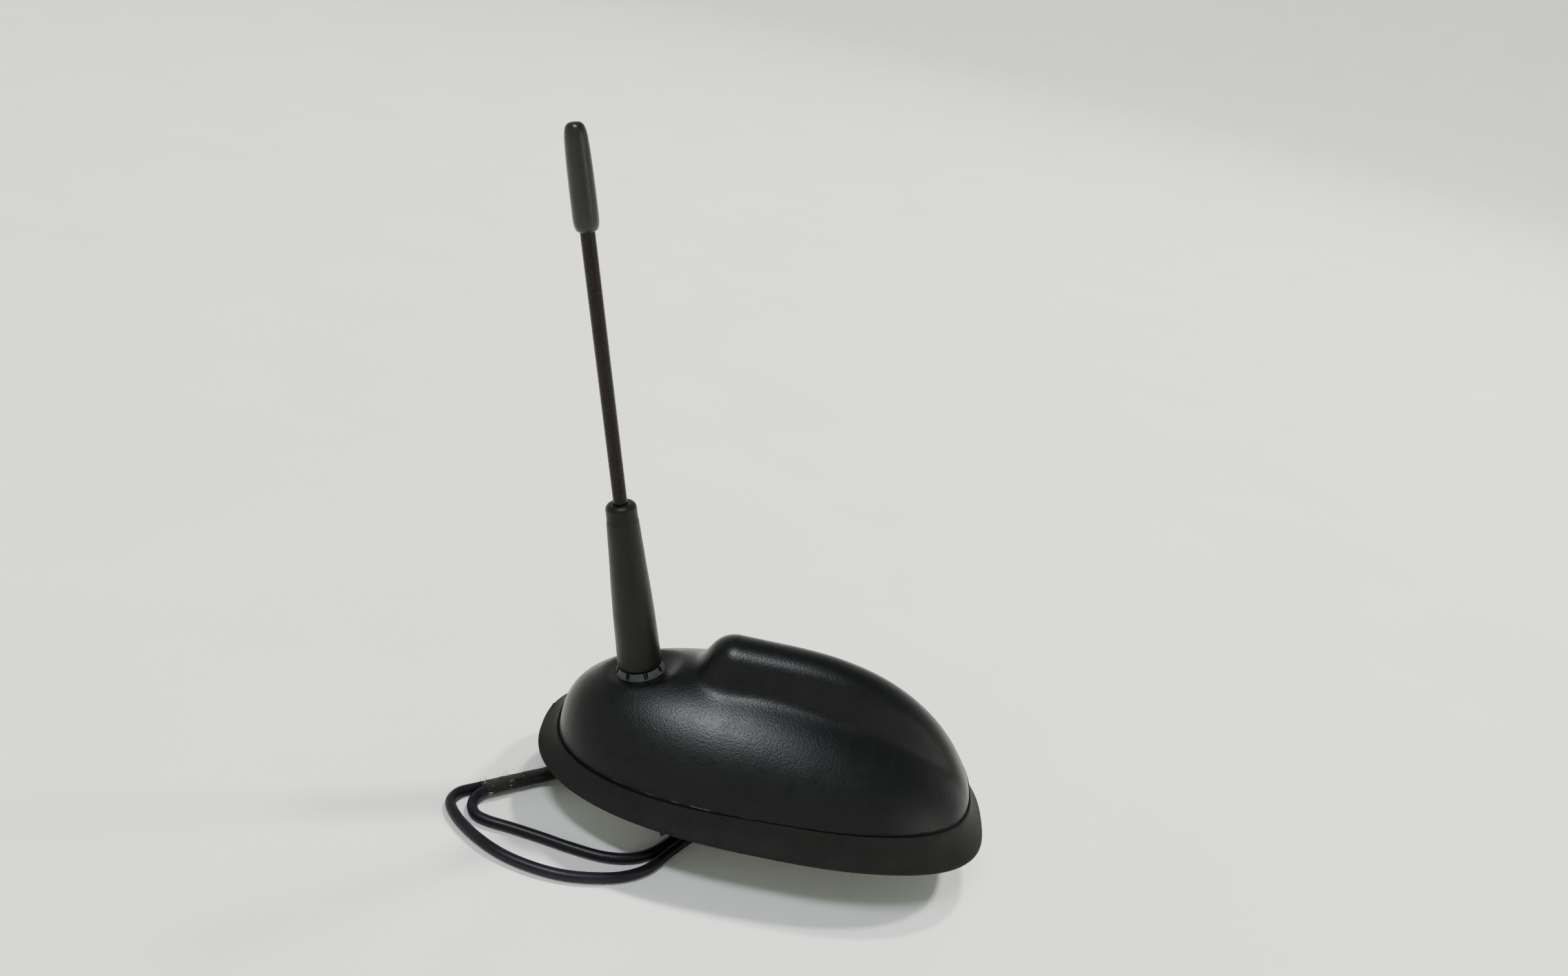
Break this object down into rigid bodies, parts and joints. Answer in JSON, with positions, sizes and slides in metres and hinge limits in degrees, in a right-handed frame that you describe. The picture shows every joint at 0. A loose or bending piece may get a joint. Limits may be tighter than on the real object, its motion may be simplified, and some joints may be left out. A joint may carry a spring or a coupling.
{
  "type": "vehicle roof antenna",
  "caption": "Raked screw-in whip mast on a moulded base with a finger-shaped hump, a flared rubber gasket, a hollow threaded roof stud with its nut, and thin coaxial leads.",
  "frame": {"origin": "on the roof stud's axis, in the plane of the roof skin under the gasket", "axes": "+Z out of the roof, +X towards the rounded front of the cover, +Y to the left side of a vehicle that faces +X; the mast leans back towards -X"},
  "size_m": [0.1498, 0.1025, 0.1845],
  "materials": {
    "cover_plastic": "fine moulded grain",
    "gasket_rubber": "matt moulded rubber",
    "die_cast": null,
    "plated_steel": "zinc plated",
    "seal_rubber": "smooth rubber",
    "tip_plastic": "smooth",
    "rod_plastic": "glossy sleeve",
    "core_fibre": "glass-fibre rod",
    "copper": null,
    "foot_plastic": "semi-gloss",
    "brass": "turned brass",
    "seat_plastic": "worn, greyish",
    "insulator": "natural nylon",
    "board": "solder resist on glass-fibre laminate",
    "chips": "moulded",
    "tin": "tin plated",
    "holder_plastic": "moulded",
    "lead_jacket": "soft flexible jacket",
    "fleece": "needled fleece tape",
    "plug_black": "moulded",
    "plug_red": "moulded",
    "gilt": "gold plated"
  },
  "bodies": {
    "base": {"cover": "cover_plastic", "gasket": "gasket_rubber", "base_plate": "die_cast", "roof_stud": "plated_steel", "stud_seal": "seal_rubber", "cover_screws": "plated_steel", "seat_ring": "seat_plastic", "mast_socket": "brass", "socket_insulator": "insulator", "contact_spring": "brass", "amplifier_board": "board", "board_chips": "chips", "shield_can": "tin", "board_screws": "plated_steel", "phone_radiator": "copper", "radiator_holder": "holder_plastic", "cable_grommet": "seal_rubber", "lead_ferrules": "tin", "radio_lead": "lead_jacket", "phone_lead": "lead_jacket", "fleece_wrap": "fleece", "radio_plug": "plug_black", "radio_plug_contact": "gilt", "phone_plug": "plug_red", "phone_plug_contact": "gilt"},
    "mast_lift": {"foot_seal": "seal_rubber"},
    "mast": {"mast_tip": "tip_plastic", "mast_rod": "rod_plastic", "radiator_core": "core_fibre", "radiator_winding": "copper", "mast_foot": "foot_plastic", "mast_stud": "brass"},
    "washer": {"toothed_washer": "plated_steel"},
    "nut": {"roof_nut": "plated_steel"}
  },
  "joints": [
    {"name": "mast_rise", "type": "slide", "parent": "base", "child": "mast_lift", "axis": [-0.2672, 0, 0.9636], "range_m": [0, 0.0072]},
    {"name": "mast_turn", "type": "hinge", "parent": "mast_lift", "child": "mast", "pos_m": [-0.0405, 0, 0.025], "axis": [-0.2672, 0, 0.9636], "range_deg": [0, 3241]},
    {"name": "nut_drop", "type": "slide", "parent": "base", "child": "washer", "axis": [0, 0, -1], "range_m": [0, 0.003]},
    {"name": "nut_turn", "type": "hinge", "parent": "washer", "child": "nut", "pos_m": [0, 0, -0.005], "axis": [0, 0, -1], "range_deg": [0, 721]}
  ],
  "couplings": [
    {"joint": "mast_turn", "follows": "mast_rise", "rad_per_m": 7854},
    {"joint": "nut_turn", "follows": "nut_drop", "rad_per_m": 4188.8}
  ]
}
